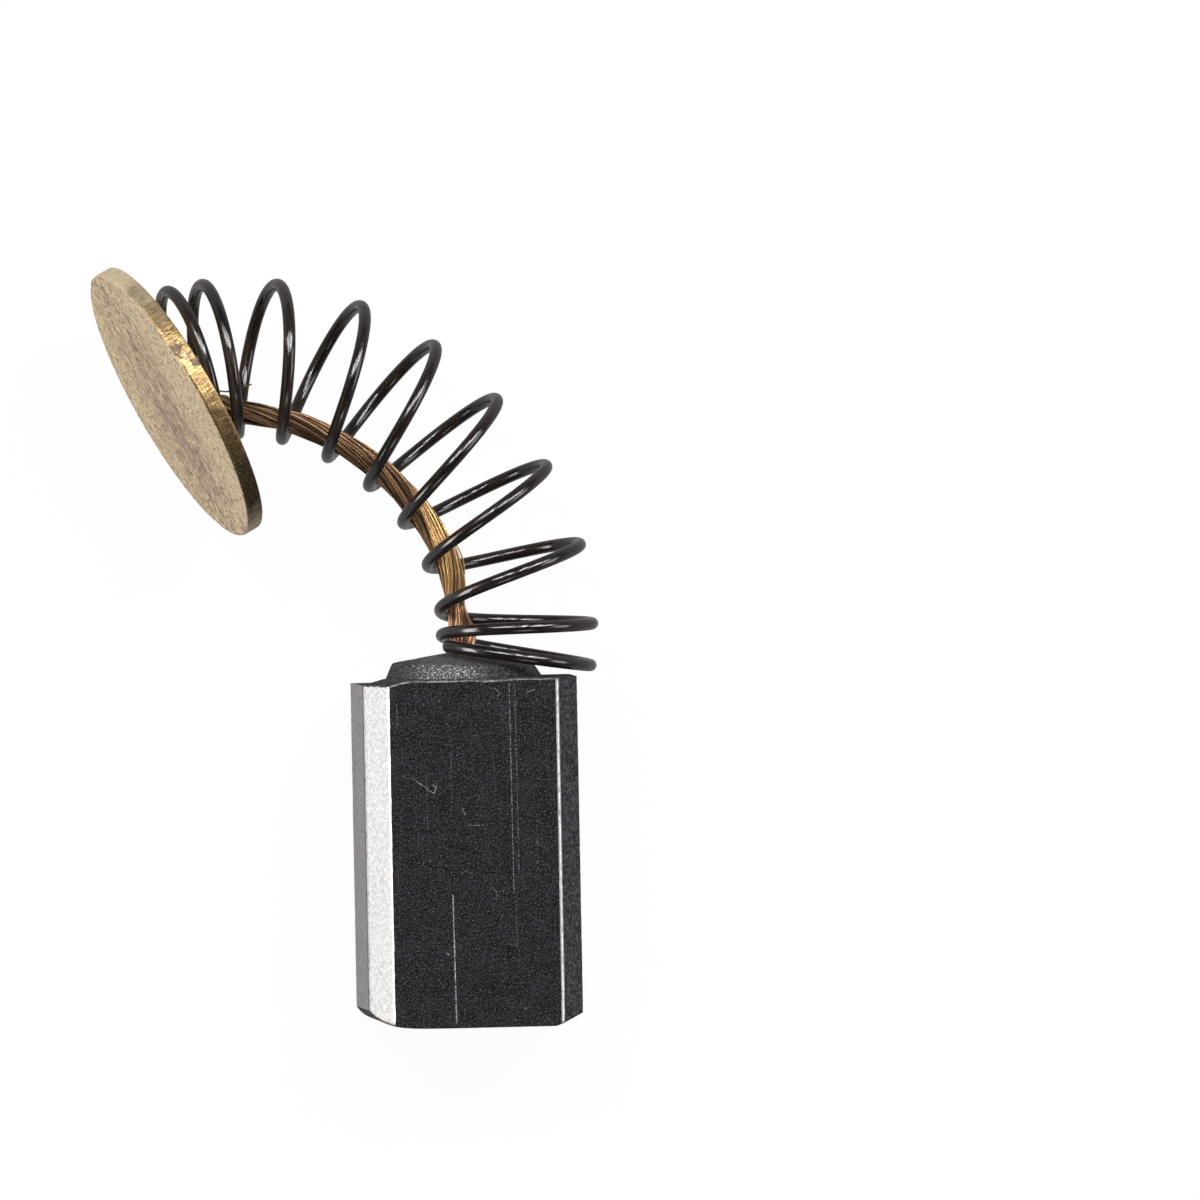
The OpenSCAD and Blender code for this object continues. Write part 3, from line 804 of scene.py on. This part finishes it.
# Disc: a profile from the middle of its back, over the rim to the middle of its face, turned
# about its axis. The outline swells and sinks by a few hundredths, as punched.
def makeDisc(look):
    columns = look["columns"]
    angle = 2 * np.pi * np.arange(columns) / columns
    cx, cy = np.cos(angle), np.sin(angle)
    swell = 0.016 * noiseOf(cx, cy, 1.6, 1.6, 61) + 0.008 * noiseOf(cx, cy, 7, 7, 62) - 0.024
    e, thick, burr = look["edgeRound"], look["thick"], look["backBurr"]
    profile = [(r, 0) for r in np.linspace(0.02, 0.985, 22)]
    profile += [(0.993, -0.35 * burr), (0.997, -burr * 0.8), (1, -burr * 0.3)]
    profile += [(1 + 0.0006 * (k % 3), h) for k, h in enumerate(np.linspace(0.03, thick - e, 12))]
    for t in np.radians(np.arange(15, 91, 15)):
        profile.append((1 - (e - e * np.cos(t)) / look["round"], thick - e + e * np.sin(t)))
    profile += [(r, thick) for r in np.linspace(0.972, 0.02, 56)]
    profile = np.array(profile)
    share, height = profile[:, :1], profile[:, 1:]
    rim = ((share > 0.99) & (height > -0.02) & (height < thick - 0.01)).astype(float)
    radius = share * look["round"] + swell * smooth((share - 0.8) / 0.2)
    # punching marks run across the rim; they fade towards the rolled edge
    marks = noiseOf(angle, height, 62, 2, 63) * 0.6 + noiseOf(angle, height, 150, 3, 64) * 0.4
    radius = radius + look["punchMarks"] * marks * rim
    # the face is slightly dished and wavy; dents nick its edge here and there
    u, v = cx * share, cy * share
    wavy = 0.012 * noiseOf(u, v, 2.2, 2.2, 65) + 0.005 * noiseOf(u, v, 6, 6, 66)
    inside = smooth((0.985 - share) / 0.04)
    face = smooth((height - thick + 0.02) / 0.02) * inside
    back = smooth((0.02 - height) / 0.02) * inside
    nick = np.maximum(0, noiseOf(cx, cy, 4.5, 4.5, 67) - 0.35) * smooth((share - 0.955) / 0.03)
    nick = nick * smooth((height - 0.3) / 0.2)
    height = height + (wavy - look["dish"] * (1 - share ** 2)) * face - look["nickDown"] * nick
    height = height + 0.5 * wavy * back
    radius = radius - look["nickIn"] * nick
    # burr left by the punch at one place of the face's edge
    burred = np.exp(-((angle - look["burrAt"]) / look["burrWide"]) ** 2) * smooth((share - 0.96) / 0.03)
    radius = radius + look["burrOut"] * (burred * smooth((height - 0.35) / 0.15))
    out = discDirection(springLook)
    level = unit(np.cross(upward, out))
    upright = np.cross(out, level)
    # places on the disc for its finish: across its face and along its axis
    flow = np.stack([radius * cx, radius * cy, height], -1)
    rows = np.array(look["middle"]) + flow[..., :1] * level + flow[..., 1:2] * upright + flow[..., 2:] * out
    flow = np.concatenate([flow.reshape(-1, 3), [[0, 0, 0], [0, 0, thick]]])
    values = {"flow": flow}
    for name, value in (("angle", angle), ("rim", rim)):
        values[name] = np.r_[np.broadcast_to(value, radius.shape).ravel(), 0, 0]
    piece = buildPiece("discPlate", closedShell(rows), makeBrass(look), values)
    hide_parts("contact_disc")


# Punched brass: a dull pale face, stained brown along its middle and finely speckled, and a rim
# that is beige at its ends, golden with painted highlight patches mid near side, and painted dark shade
# below.
def makeBrass(look):
    material, tree, shader = newMaterial("punchedBrass")
    place, turn, rim = stored(tree, "flow", "Color"), stored(tree, "angle"), stored(tree, "rim")
    spot = addNode(tree, "SeparateXYZ", {"Vector": place}).outputs
    band = ranged(tree, awayFrom(tree, spot["Y"], -0.5), 3.2, 0.6, kind="SMOOTHSTEP")
    ends = ranged(tree, awayFrom(tree, spot["X"], 0.4), 4.2, 2)
    cloud = ranged(tree, noised(tree, place, (1, 2.4, 1), 4, 0.65), 0.40, 0.62)
    stain = times(tree, times(tree, band, ends), ranged(tree, cloud, 0, 1, 0, 0.62))
    pale = ranged(tree, noised(tree, place, (3, 8, 3), 4, 0.7), 0.35, 0.66)
    grain = noised(tree, place, (20, 7.5, 8), 2, 0.7)
    colour = blendColour(tree, pale, look["faceBrass"], look["paleFace"])
    colour = blendColour(tree, stain, colour, look["stain"])
    short = flecks(tree, place, (6, 7, 4), 0.56, 0.62, 3)
    colour = laidOver(tree, colour, short, 0.85, look["shortFleck"])
    streaks = flecks(tree, place, (2, 6.5, 4), 0.50, 0.59, 4)
    colour = laidOver(tree, colour, streaks, ranged(tree, band, 0, 1, 0.15, 0.9), look["longFleck"])
    colour = blendColour(tree, ranged(tree, grain, 0.54, 0.38, 0, 0.62), colour, look["faceGrain"])
    # rim: its colour goes by the angle round the disc, in degrees from the low end of the near side; its
    # bright gold is a painted highlight and its dark lower stretch a painted shade
    degrees = times(tree, turn, 180 / np.pi)
    around = times(tree, turn, look["round"])
    across = addNode(tree, "CombineXYZ", {"X": around, "Y": spot["Z"]}).outputs[0]
    cloudy = times(tree, maths(tree, "SUBTRACT", noised(tree, across, 1.6), 0.5), 45)
    reach = maths(tree, "ADD", degrees, cloudy)
    golden = between(tree, reach, (58, 82), (150, 128))
    bright = between(tree, reach, (84, 96), (132, 118))
    beige = maths(tree, "MAXIMUM", ranged(tree, reach, 38, 16), ranged(tree, reach, 118, 154))
    mauve = flecks(tree, across, (1.3, 1.8, 1), 0.52, 0.60, 3)
    mauve = times(tree, mauve, between(tree, degrees, (78, 88), (135, 112)))
    marks = noised(tree, across, (17, 2.2, 1), 3, 0.65)
    # painted shade: the rim is dark below its golden stretch
    side = blendColour(tree, golden, look["rimPaintedShade"], look["rimBrass"])
    # painted highlight: bright gold patches in the middle of the near side
    patchy = ranged(tree, noised(tree, across, 2.6), 0.44, 0.54, 0.1, 1)
    side = laidOver(tree, side, bright, patchy, look["rimPaintedHighlight"])
    speck = noised(tree, across, 13, 3, 0.75)
    side = blendColour(tree, ranged(tree, speck, 0.50, 0.60, 0, 0.7), side, look["rimSpeck"])
    side = blendColour(tree, beige, side, look["rimBeige"])
    side = laidOver(tree, side, mauve, 0.85, look["rimMauve"])
    dark = ranged(tree, marks, 0.56, 0.40, 0, 0.65)
    side = laidOver(tree, side, dark, ranged(tree, beige, 0, 1, 1, 0.4), look["rimMark"])
    dullness = blendValue(tree, maths(tree, "MAXIMUM", mauve, beige), 0.36, 0.6)
    feed(tree, shader, {
        "Base Color": blendColour(tree, rim, colour, side),
        "Roughness": blendValue(tree, rim, 0.6, dullness),
        "Metallic": blendValue(tree, rim, 0.3, blendValue(tree, beige, 0.9, 0.4)),
    })
    bumped(tree, shader, maths(tree, "ADD", grain, times(tree, marks, times(tree, rim, 2))), 0.5, 0.000012)
    return material


makeDisc(discLook)
print("contact disc made")

# ---- pigtail
pigtailLook = {
    "depth": -0.55, "axisHigh": 3, "coilRoom": 2.25, "usual": 0.74, "footRound": 0.5, "ringGap": 0.075,
    "bundles": 6, "perBundle": 11, "strandRound": 0.036, "lay": 13, "bundleLay": 9, "sides": 6,
    # share of the spring's route, lean across the coils and upwards as shares of the room in them, diameter
    "points": [
        (0.04, -0.98, -0.06, 0.92), (0.06, -0.99, -0.10, 0.84), (0.09, -0.98, -0.15, 0.68),
        (0.12, -0.98, -0.18, 0.62), (0.16, -0.99, -0.13, 0.76), (0.20, -0.99, -0.05, 0.84),
        (0.24, -0.99, -0.04, 0.88), (0.28, -0.99, -0.03, 0.88), (0.33, -0.99, -0.06, 0.86),
        (0.39, -0.99, -0.09, 0.84), (0.44, -0.99, -0.07, 0.82), (0.49, -0.99, -0.05, 0.82),
        (0.55, -0.99, -0.05, 0.80), (0.61, -0.99, -0.06, 0.78), (0.68, -0.99, -0.06, 0.78),
        (0.76, -0.99, 0, 0.78), (0.84, -0.97, 0.09, 0.78), (0.91, -0.90, 0.26, 0.78),
        (0.96, -0.72, 0.43, 0.78),
    ],
    "bulge": (2.9, 4.1, 0.07),  # a strand stands off the right side: from, to along the pigtail, how far
    # two loose strands at the disc, and how bright the strand that stands off and they are
    "loose": [
        [(-8.85, 14.95, 4.95), (-8.45, 15.06, 5.15), (-8.10, 15.16, 5.3),
         (-7.78, 15.14, 5.6), (-7.38, 15.25, 5.9), (-7.06, 15.37, 6.2)],
        [(-8.80, 14.90, 4.90), (-8.20, 15, 5.15), (-7.77, 14.99, 5.2),
         (-7.71, 14.83, 5.1), (-7.85, 14.66, 5), (-7.58, 14.53, 4.9)],
    ],
    "looseBright": (0.8, 0.3, 0.45),
    "copper": (0.54, 0.28, 0.16), "golden": (0.92, 0.60, 0.27), "bronze": (0.50, 0.29, 0.155),
    "dark": (0.035, 0.019, 0.011),
}


# Smooth curve through points: each stretch is a cubic that leaves along the line between its
# neighbours.
def curveThrough(points, perStretch):
    before = np.concatenate([points[:1], points[:-2]])
    beyond = np.concatenate([points[2:], points[-1:]])
    u = (np.arange(perStretch) / perStretch)[None, :, None]
    b, h, n, y = (p[:, None] for p in (before, points[:-1], points[1:], beyond))
    bend = (2 * b - 5 * h + 4 * n - y) * u ** 2 + (3 * h - b - 3 * n + y) * u ** 3
    curve = (2 * h + (n - b) * u + bend) / 2
    return np.concatenate([curve.reshape(-1, points.shape[1]), points[-1:]])


# Middle line and radius of the pigtail, evenly spaced: up from the bore, along the inside of the
# coils and to its foot on the disc.
def pigtailLine(look):
    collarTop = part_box("carbon_block")[1].y / millimetre
    inBore = [(0, collarTop + rise, look["axisHigh"], look["usual"]) for rise in (look["depth"], -0.3, 0.05)]
    rows = np.array(look["points"])
    place, way = routeAt(springLook, rows[:, 0])
    across = unit(np.cross(unit(way), upward))
    room = (look["coilRoom"] - rows[:, 3] / 2)[:, None]
    leaning = place + room * (rows[:, 1:2] * across + rows[:, 2:3] * np.cross(across, unit(way)))
    out = discDirection(springLook)
    back = np.array(discLook["middle"])
    foot = [np.r_[back - out * 0.5, look["usual"]], np.r_[back - out * 0.12, 2 * look["footRound"]]]
    stops = np.concatenate([np.array(inBore), np.c_[leaning, rows[:, 3]], np.array(foot)])
    curve = curveThrough(stops, 24)
    length = np.r_[0, np.cumsum(np.linalg.norm(np.diff(curve[:, :3], axis=0), axis=1))]
    even = np.linspace(0, length[-1], int(length[-1] / look["ringGap"]))
    curve = np.stack([np.interp(even, length, curve[:, k]) for k in range(4)], -1)
    for _ in range(3):
        curve[1:-1] = 0.25 * curve[:-2] + 0.5 * curve[1:-1] + 0.25 * curve[2:]
    return curve[:, :3], curve[:, 3] / 2, even


# Directions across a line that turn with it as little as they can, from `side` at its start.
def carriedSides(line, side):
    way = unit(np.gradient(line, axis=0))
    first = np.empty_like(line)
    current = side
    for i in range(len(line)):  # each direction comes from the one before it
        current = current - way[i] * (current @ way[i])
        current = current / np.linalg.norm(current)
        first[i] = current
    return first, np.cross(way, first)


# Pigtail: fine wires laid round dark cores in twisted bundles, the bundles twisted round each
# other. A wire's place across the pigtail is its bundle's place plus its own, each turned by its lay.
def makePigtail(look):
    line, radius, length = pigtailLine(look)
    first, second = carriedSides(line, upward)
    draw = np.random.default_rng(7)
    parts, tones = [], []
    rings = np.repeat(np.arange(len(line)), look["sides"])
    share = np.r_[length[rings] / length[-1], 0, 1]

    # One strand of a thickness, at a place across the pigtail, kept inside its outline
    def addWire(x, y, thickness, seed, luck):
        keep = np.minimum(1, (radius - thickness) / np.maximum(np.hypot(x, y), 1e-6))
        place = line + (x * keep)[:, None] * first + (y * keep)[:, None] * second
        wide = np.broadcast_to(thickness[:, None], (len(place), look["sides"]))
        parts.append(closedShell(skinRows(place, first, wide, look["sides"])))
        tones.append(strandTone(look, share, luck, rings, seed))

    addWire(0 * length, 0 * length, 0.5 * radius, 99, 0)
    for bundle in range(look["bundles"]):
        phase = 2 * np.pi * bundle / look["bundles"] + draw.uniform(-0.25, 0.25)
        drift = noiseOf(length + draw.uniform(0, 50), 0, 0.45, 0, 90 + bundle)
        angle = phase + 2 * np.pi * length / look["lay"] + 0.4 * drift
        reach = radius * 0.60 * (1 + 0.06 * drift)
        x, y = reach * np.cos(angle), reach * np.sin(angle)
        addWire(x, y, radius * 0.27, 100 + bundle * 40, 0.25)
        for wire in range(look["perBundle"]):
            seed = 101 + bundle * 40 + wire
            slip = noiseOf(length, 0, 0.6, 0, seed)
            slide = noiseOf(length, 0, 0.9, 0, seed + 500)
            turned = 2 * np.pi * (wire / look["perBundle"] + length / look["bundleLay"]) + 0.45 * slip
            out = (radius * 0.40 - look["strandRound"]) * (1 + 0.10 * slide + 0.06 * (wire % 2))
            thickness = look["strandRound"] * (1 + 0.08 * slip)
            luck = 0.15 + 1.15 * draw.uniform(0, 1) ** 1.5
            addWire(x + out * np.cos(turned), y + out * np.sin(turned), thickness, seed, luck)
    begin, end, far = look["bulge"]
    part = (length > begin) & (length < end)
    lifted = radius[part] + far * np.sin(np.pi * (length[part] - begin) / (end - begin)) - 0.02
    bulging = line[part] + lifted[:, None] * second[part]
    strays = [bulging] + [curveThrough(np.array(stray), 8) for stray in look["loose"]]
    for path, bright in zip(strays, look["looseBright"]):
        wide = np.full((len(path), look["sides"]), look["strandRound"] * 0.8)
        parts.append(closedShell(skinRows(path, upward, wide, look["sides"])))
        tones.append(np.tile(np.array(look["golden"]) * bright, (len(parts[-1][0]), 1)))
    starts = np.cumsum([0] + [len(part[0]) for part in parts[:-1]])
    points = np.concatenate([part[0] for part in parts])
    quads, fans = (np.concatenate([part[k] + start for part, start in zip(parts, starts)]) for k in (1, 2))
    values = {"tone": np.concatenate(tones)}
    shell = (points, quads, fans)
    piece = buildPiece("pigtailStrands", shell, makeStrandMetal(look), values)
    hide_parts("pigtail")


# Colour of a strand along it: copper at the crown, golden in the middle, bronze towards the disc.
def strandTone(look, share, luck, ring, seed):
    copper, golden, bronze, dark = (np.array(look[key]) for key in ("copper", "golden", "bronze", "dark"))
    ring = np.r_[ring, 0, ring[-1]]
    patch = 0.5 + 0.5 * noiseOf(ring, seed, 0.03, 1.7, 71)
    toGolden = smooth((share - 0.13) / 0.06)[:, None]
    toBronze = smooth((share - 0.31 + 0.2 * (patch - 0.5)) / 0.10)[:, None]
    colour = copper * (1 - toGolden) + golden * toGolden
    colour = colour * (1 - toBronze) + bronze * toBronze
    shade = luck * (0.6 + 0.8 * patch) * (1 + 0.9 * (toGolden * (1 - toBronze))[:, 0])
    tarnish = smooth((patch - 0.55) / 0.2)[:, None] * 0.6
    shade = np.minimum(shade, 1 / colour.max(1))
    return colour * shade[:, None] * (1 - tarnish) + dark * tarnish


def makeStrandMetal(look):
    material, tree, shader = newMaterial("strandedCopper")
    tone = stored(tree, "tone", "Color")
    place = addNode(tree, "TexCoord").outputs["Object"]
    dust = flecks(tree, place, 6000, 0.60, 0.72, 3)
    feed(tree, shader, {
        "Base Color": laidOver(tree, tone, dust, 0.5, look["dark"]),
        "Roughness": blendValue(tree, dust, 0.33, 0.6),
        "Metallic": 0.75,
    })
    bumped(tree, shader, dust, 0.2, 0.000008)
    return material


makePigtail(pigtailLook)
print("pigtail made")
